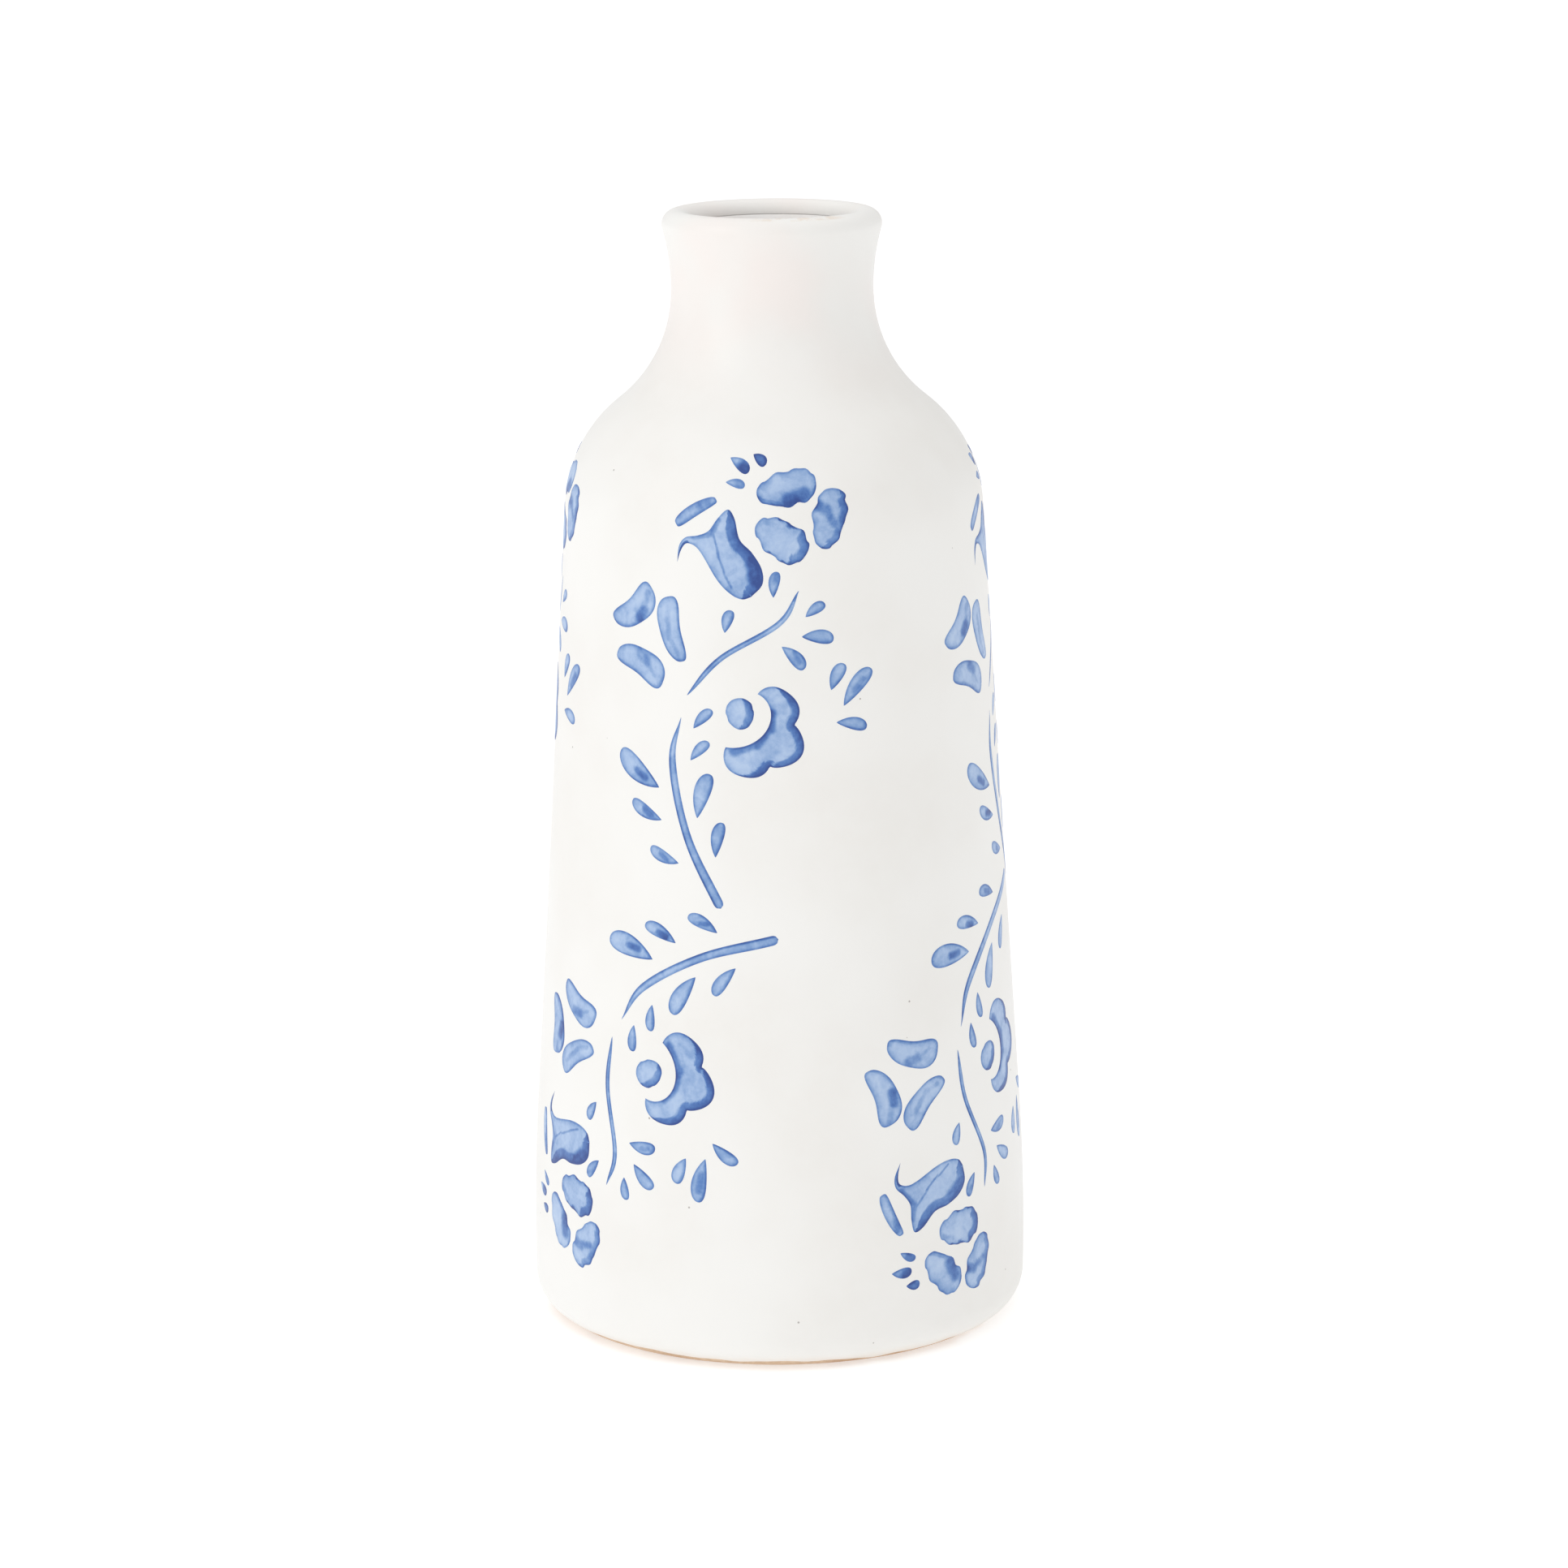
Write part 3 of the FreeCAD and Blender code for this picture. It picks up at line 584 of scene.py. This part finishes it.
# The side where the brush was fullest: its direction in degrees, how wide the dark band is, how dark.
LEAF_SHADE = (-35, 0.6, 0.12)
BEAN_SHADE = (-60, 0.6, 0.12)
PETAL_SHADES = [(-80, 0.8, 0.18), (-25, 1.3, 0.26), (-25, 1.6, 0.42)]
STEM_SHADE = (170, 0.4, 0.16)
HEART_SHADE = (-10, 1.4, 0.34)
ROSE_SHADE = (-15, 1.45, 0.42)
TULIP_SHADE = (-5, 1.9, 0.44)

TRANSFERS = {  # degrees around from the front, height of the heart, turn in degrees, flipped
    "upper_transfer_front": (-9.0, 104.9, 0.0, False),
    "upper_transfer_right": (90.0, 101.8, 5.0, False),
    "upper_transfer_back": (176.0, 103.0, -3.0, False),
    "upper_transfer_left": (-96.5, 102.5, 0.0, False),
    "lower_transfer_front": (-31.8, 47.2, -48.2, True),
    "lower_transfer_right": (60.0, 46.0, -34.5, True),
    "lower_transfer_back": (152.0, 46.5, -42.0, True),
    "lower_transfer_left": (-121.0, 46.0, -45.0, True),
}
SPACING = 0.26  # between the rows of a patch's mesh
FILM = 0.045  # how far the colour stands proud of the glaze
FILM_EDGE = 0.008  # the same at the colour's edge
FILM_ROOT = 0.05  # how deep it sits in the glaze
WASH = 0.39  # how much ink the plain wash holds
WASH_SPREAD = 0.05  # how far that strays from patch to patch, and from side to side of one
MIDDLE_DROP = 0.12  # how much less ink the middle of a patch holds
MIDDLE_REACH = (0.35, 1.2)  # the distances from the edge between which the middle starts
RIM = 0.46  # width of the darker outline
RIM_INK = 0.23
ACCENT_STRAY = 0.2  # how far an accent may be off its place
SEED = 11


def turned(points, degrees):
    angle = math.radians(degrees)
    points = np.asarray(points, float)
    spin = np.array([[math.cos(angle), math.sin(angle)], [-math.sin(angle), math.cos(angle)]])
    return points @ spin


def smooth_line(places, count):
    """Places in even steps on a smooth curve (Catmull-Rom) through the ones given."""
    places = np.array(places, float)
    padded = np.vstack([2 * places[0] - places[1], places, 2 * places[-1] - places[-2]])
    found = []
    for step in np.linspace(0, len(places) - 1, count):
        at = min(int(step), len(places) - 2)
        part = step - at
        before, start, end, after = padded[at:at + 4]
        found.append(
            0.5 * (
                2 * start
                + (end - before) * part
                + (2 * before - 5 * start + 4 * end - after) * part**2
                + (3 * start - before - 3 * end + after) * part**3
            )
        )
    return np.array(found)


def rows_for(length):
    return max(10, int(length / SPACING))


def oval(length, width, bend=0.0, boxy=1.0, egg=0.0, waist=0.0, scallop=0.0, start=0.0):
    """Both sides of an oval along x: boxy under 1 fills it out, and the rest shape its edge."""
    turn = np.linspace(0, math.pi, rows_for(length) + 1)
    along = -np.cos(turn) * length / 2
    middle = bend * (0.5 - np.cos(turn) ** 2)
    half = width / 2 * np.sin(turn) ** boxy * (1 - egg * np.cos(turn)) * (1 - waist * np.sin(turn) ** 6)
    sides = []
    for side, phase in ((1, start), (-1, start + 2.4)):
        lobes = np.abs(np.sin(3.5 * turn + phase)) - 0.6
        teeth = 0.3 * np.sin(11 * turn + phase)
        wave = 1 + scallop * (lobes + teeth)
        sides.append(np.stack([along, middle + side * half * wave], -1))
    return sides


def laid(sides, middle, degrees):
    """Turns both sides of a patch, and moves them to their place in the spray."""
    return [turned(side, degrees) + np.array(middle) for side in sides]


def laid_between(sides, start, end):
    middle = ((start[0] + end[0]) / 2, (start[1] + end[1]) / 2)
    return laid(sides, middle, math.degrees(math.atan2(end[1] - start[1], end[0] - start[0])))


def leaf(tip, end, width):
    """A drop with a sharp tip, slightly bent."""
    length = math.dist(tip, end)
    turn = np.linspace(0, math.pi, rows_for(length) + 1)
    along = -np.cos(turn) * length / 2
    half = LEAF_FULLNESS * width * np.sin(turn) ** 0.9 * np.sin(turn / 2) ** 0.8
    middle = LEAF_BEND * length * (0.5 - np.cos(turn) ** 2)
    sides = [np.stack([along, middle + side * half], -1) for side in (1, -1)]
    return laid_between(sides, tip, end)


def bean(middle, length, width, direction, bend):
    return laid(oval(length, width, bend, boxy=0.68, egg=0.2, waist=0.16), middle, direction)


def petal(middle, length, width, direction, start):
    sides = oval(length, width, boxy=0.8, egg=0.16, scallop=0.15, start=start)
    return laid(sides, middle, direction)


def bar(start, end, width):
    sides = oval(math.dist(start, end), width, bend=0.35, boxy=0.5, egg=-0.1)
    return laid_between(sides, start, end)


def heart():
    return laid(oval(*HEART, boxy=0.92, egg=0.1, scallop=0.05, start=1.0), (0, 0), HEART_DIRECTION)


def stem(places, start_width, end_width, start_taper, end_taper):
    """A brush line: each taper is how far from that end it reaches its full width."""
    length = sum(math.dist(a, b) for a, b in zip(places, places[1:]))
    centre = smooth_line(places, rows_for(length) + 1)
    ahead = np.gradient(centre, axis=0)
    ahead /= np.linalg.norm(ahead, axis=1)[:, None]
    across = np.stack([-ahead[:, 1], ahead[:, 0]], -1)
    part = np.linspace(0, 1, len(centre))
    width = start_width + (end_width - start_width) * part + STEM_SWELL * np.sin(math.pi * part)
    width *= 1 + STEM_RIPPLE * np.sin(9 * part + start_width)
    for reach, taper in ((part, start_taper), (1 - part, end_taper)):
        short = 1 - np.clip(reach * length / taper, 0, 1)
        width = width * np.sqrt(1 - short**2)
    half = width[:, None] / 2
    return centre + across * half, centre - across * half


def rose():
    """A crescent round the heart, with three lobes on its outer edge."""
    middle = np.array(ROSE_OUTER["middle"])
    first, last = ROSE_OUTER["span"]
    part = np.linspace(0, 1, rows_for(ROSE_LENGTH) + 1)
    reach = ROSE_OUTER["reach"] + ROSE_OUTER["lobe"] * np.abs(np.sin(3 * math.pi * part)) ** 0.8
    reach += ROSE_OUTER["ripple"] * np.sin(29 * part)
    turn = np.radians(first + (last - first) * part)
    outer = middle + np.stack([reach * np.cos(turn), reach * np.sin(turn)], -1)
    ends = [math.atan2(y, x) for x, y in (outer[0], outer[-1])]
    radii = [math.hypot(*outer[0]), math.hypot(*outer[-1])]
    reach = radii[0] + (radii[1] - radii[0]) * part
    reach += (ROSE_INNER_REACH - reach) * np.sin(math.pi * part)
    turn = ends[0] + (ends[1] - ends[0]) * part
    return outer, np.stack([reach * np.cos(turn), reach * np.sin(turn)], -1)


def tulip():
    count = rows_for(TULIP_LENGTH) + 1
    return smooth_line(TULIP_UPPER, count), smooth_line(TULIP_LOWER, count)


def spray():
    """Every patch of colour in one transfer: both its sides, and how its edge is shaded."""
    patches = [(leaf(*entry), LEAF_SHADE) for entry in LEAVES]
    patches += [(bean(*entry), BEAN_SHADE) for entry in BEANS]
    patches += [(petal(*entry), shade) for entry, shade in zip(PETALS, PETAL_SHADES)]
    patches += [(stem(*entry), STEM_SHADE) for entry in STEMS]
    patches += [(bar(*BAR), LEAF_SHADE), (heart(), HEART_SHADE)]
    patches += [(rose(), ROSE_SHADE), (tulip(), TULIP_SHADE)]
    return patches


def ease(value, low, high):
    """Rises smoothly from 0 at low to 1 at high."""
    part = np.clip((value - low) / (high - low), 0, 1)
    return part * part * (3 - 2 * part)


def outward_normals(side, other):
    """Unit normals of a patch's side that point away from its other side."""
    ahead = np.gradient(side, axis=0)
    normals = np.stack([-ahead[:, 1], ahead[:, 0]], -1)
    normals *= np.where((normals * (side - other)).sum(axis=1) < 0, -1, 1)[:, None]
    return normals / np.maximum(np.linalg.norm(normals, axis=1), 1e-9)[:, None]


def patch_grid(left, right):
    """Flat places across a patch, closer near its sides, with the way to the edge and its normal."""
    widest = np.linalg.norm(left - right, axis=1).max()
    across = max(6, int(widest / SPACING) + 5)
    share = (0.5 - 0.5 * np.cos(np.linspace(0, math.pi, across + 1)))[None, :, None]
    flat = left[:, None] * (1 - share) + right[:, None] * share
    border = np.vstack([left, right])
    normals = np.vstack([outward_normals(left, right), outward_normals(right, left)])
    gap = np.empty(flat.shape[:2])
    facing = np.empty(flat.shape)
    for row, places in enumerate(flat):
        away = np.linalg.norm(places[:, None] - border[None], axis=2)
        gap[row] = away.min(axis=1)
        facing[row] = normals[away.argmin(axis=1)]
    return flat, gap, facing


def accent_ink(flat, wander):
    """Soft strokes of a fuller brush, each a little off its place in every transfer."""
    total = np.zeros(flat.shape[:2])
    for start, end, width, strength in ACCENTS:
        start = np.array(start) + wander.uniform(-ACCENT_STRAY, ACCENT_STRAY, 2)
        end = np.array(end) + wander.uniform(-ACCENT_STRAY, ACCENT_STRAY, 2)
        run = end - start
        part = np.clip(((flat - start) @ run) / (run @ run), 0, 1)
        away = np.linalg.norm(flat - start - part[..., None] * run, axis=2)
        strength *= wander.uniform(0.85, 1.15)
        total = np.maximum(total, strength * (1 - ease(away, width * 0.22, width * 0.72)))
    return total


def patch_ink(flat, gap, facing, shade, wander):
    """A pale middle, a darker rim, a dark band along the shaded side, and the accents."""
    degrees, width, strength = shade
    wash = WASH + wander.uniform(-WASH_SPREAD, WASH_SPREAD)
    side = wander.uniform(0, 2 * math.pi)
    lean = (flat - flat.mean(axis=(0, 1))) @ np.array([math.cos(side), math.sin(side)])
    ink = wash + WASH_SPREAD * np.clip(lean / 3, -1, 1) - MIDDLE_DROP * ease(gap, *MIDDLE_REACH)
    ink += RIM_INK * (1 - ease(gap, 0.12, RIM))
    turn = math.radians(degrees)
    towards = facing @ np.array([math.cos(turn), math.sin(turn)])
    band = 0.01 + width * ease(towards, -0.25, 0.75)
    strength = strength * ease(towards, -0.25, 0.1)
    return ink + np.maximum(strength * (1 - ease(gap, 0.8 * band, band)), accent_ink(flat, wander))


def patch_mesh(sides, shade, around, height, turn, flipped, wander):
    """Vertices, faces and ink of one patch, as a thin closed film on the glaze."""
    flat, gap, facing = patch_grid(*sides)
    ink = patch_ink(flat, gap, facing, shade, wander)
    placed = turned(flat * np.array([1, -1 if flipped else 1]), turn)
    level = height + placed[..., 1]
    radius = surface_radius(level)
    angle = math.radians(around) + placed[..., 0] / radius
    lift = FILM_EDGE + (FILM - FILM_EDGE) * ease(gap, 0.0, 0.3)
    rows, across = gap.shape
    kept = [0, across // 2, across - 1]
    top = on_vase(angle, level, radius + lift).reshape(-1, 3)
    root = on_vase(angle, level, radius - FILM_ROOT)[:, kept].reshape(-1, 3)
    size = rows * across
    faces = grid_faces(rows, across) + grid_faces(rows, len(kept), first=size)
    for row in range(rows - 1):
        for upper, lower in ((0, 0), (across - 1, len(kept) - 1)):
            a = row * across + upper
            b = size + row * len(kept) + lower
            faces.append((a, a + across, b + len(kept), b))
    return np.vstack([top, root]), faces, np.concatenate([ink.ravel(), ink[:, kept].ravel()])


def build_transfer(label, around, height, turn, flipped, material):
    """One transfer's patches as one piece, in place of the plain one."""
    wander = np.random.default_rng(sorted(TRANSFERS).index(label) + SEED)
    vertices, faces, inks = [], [], []
    count = 0
    for sides, shade in spray():
        places, quads, ink = patch_mesh(sides, shade, around, height, turn, flipped, wander)
        vertices.append(places)
        faces += [tuple(index + count for index in quad) for quad in quads]
        inks.append(ink)
        count += len(places)
    name = label.replace("transfer", "spray")
    piece = new_object(name, np.vstack(vertices), faces, {"ink": np.concatenate(inks)})
    merge(piece, distance=2e-6)
    piece.data.materials.append(material)
    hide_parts(label)
    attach(piece, "root")
    return piece


# ---- the stage, in metres -------------------------------------------------------------------------

FLOOR_REACH = 6.0
FLOOR_DROP = 0.00002  # so that the foot and the floor don't lie in each other
FLOOR_GLOW = 0.5  # it is lit from below too, like a photographer's light table
KEY_PLACE = (-1.15, -0.75, 0.75)
KEY_SIZE = 1.0
KEY_POWER = 4.0
OVERHEAD_POWER = 0.81
OVERHEAD_SPREAD = math.radians(100)
SKY_LIGHT = 0.69  # the sky's strength as a light, where it looks plain white
CAMERA_PLACE = (0, -0.8062, 0.2646)
CAMERA_PITCH = math.radians(11.89)
CAMERA_ROLL = math.radians(-0.45)
CAMERA_LENS = 117.6
CAMERA_SHIFT = (0.0052, -0.0337)


def build_floor():
    """A wide pale floor."""
    corners = [(-1, -1), (1, -1), (1, 1), (-1, 1)]
    places = [(x * FLOOR_REACH, y * FLOOR_REACH, -FLOOR_DROP) for x, y in corners]
    floor = new_object("floor", places, [(0, 1, 2, 3)])
    nodes = Nodes("pale_floor")
    tone = nodes.mix(nodes.noise(3.0), linear(206, 206, 206), linear(203, 203, 203))
    glow = {"Emission_Color": (1, 1, 1, 1), "Emission_Strength": FLOOR_GLOW}
    floor.data.materials.append(nodes.finish(Base_Color=tone, Roughness=0.8, **glow))


def add_lamp(data, colour, place, aim):
    data.color = colour
    lamp = bpy.data.objects.new(data.name, data)
    lamp.location = place
    lamp.rotation_euler = (Vector(aim) - Vector(place)).to_track_quat("-Z", "Y").to_euler()
    bpy.context.scene.collection.objects.link(lamp)


def build_lamps():
    """A soft box at the front left, and a broad light from above."""
    key = bpy.data.lights.new("key", "AREA")
    key.shape = "DISK"
    key.size = KEY_SIZE
    key.energy = KEY_POWER
    add_lamp(key, (1.0, 0.995, 0.985), KEY_PLACE, (0, 0, HEIGHT * MM / 2))
    overhead = bpy.data.lights.new("overhead", "SUN")
    overhead.energy = OVERHEAD_POWER
    overhead.angle = OVERHEAD_SPREAD
    add_lamp(overhead, (1, 1, 1), (0, 0, 2), (0, 0, 0))


def build_sky():
    """An even white studio all round, softer as a light than it looks."""
    world = bpy.data.worlds.new("studio")
    world.use_nodes = True
    tree = world.node_tree
    sky = tree.nodes["Background"]
    sky.inputs["Color"].default_value = (1, 1, 1, 1)
    seen = tree.nodes.new("ShaderNodeLightPath").outputs["Is Camera Ray"]
    level = tree.nodes.new("ShaderNodeMapRange")
    level.inputs["To Min"].default_value = SKY_LIGHT
    level.inputs["To Max"].default_value = 1.0
    tree.links.new(seen, level.inputs["Value"])
    tree.links.new(level.outputs["Result"], sky.inputs["Strength"])
    scene = bpy.context.scene
    scene.world = world
    scene.view_settings.view_transform = "Standard"
    scene.view_settings.look = "None"


def build_camera():
    data = bpy.data.cameras.new("camera")
    data.lens = CAMERA_LENS
    data.sensor_width = 36.0
    data.shift_x, data.shift_y = CAMERA_SHIFT
    data.clip_start = 0.01
    camera = bpy.data.objects.new("camera", data)
    camera.location = CAMERA_PLACE
    camera.rotation_euler = (math.pi / 2 - CAMERA_PITCH, 0, 0)
    camera.rotation_euler.rotate_axis("Z", CAMERA_ROLL)
    bpy.context.scene.collection.objects.link(camera)
    bpy.context.scene.camera = camera


# ---- everything together --------------------------------------------------------------------------


def build_shells():
    """The two coats of glaze and the clay between them."""
    outside = glaze_material("white_glaze", linear(240, 239, 236), linear(236, 234, 230))
    # painted light: the lining is the same glaze as the outside, given a lighter colour so the shaded
    # inside of the mouth looks brighter
    inside = glaze_material("inside_glaze", linear(252, 251, 249), linear(247, 244, 241))
    for piece, material, slot in (
        (build_outer_glaze(), outside, "white_glaze"),
        (build_inner_glaze(), inside, "white_glaze"),
        (build_clay(), clay_material(), "clay"),
    ):
        piece.data.materials.append(material)
        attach(piece, "root")


build_shells()
blue = transfer_material()
for label, place in TRANSFERS.items():
    build_transfer(label, *place, blue)
build_floor()
build_lamps()
build_sky()
build_camera()
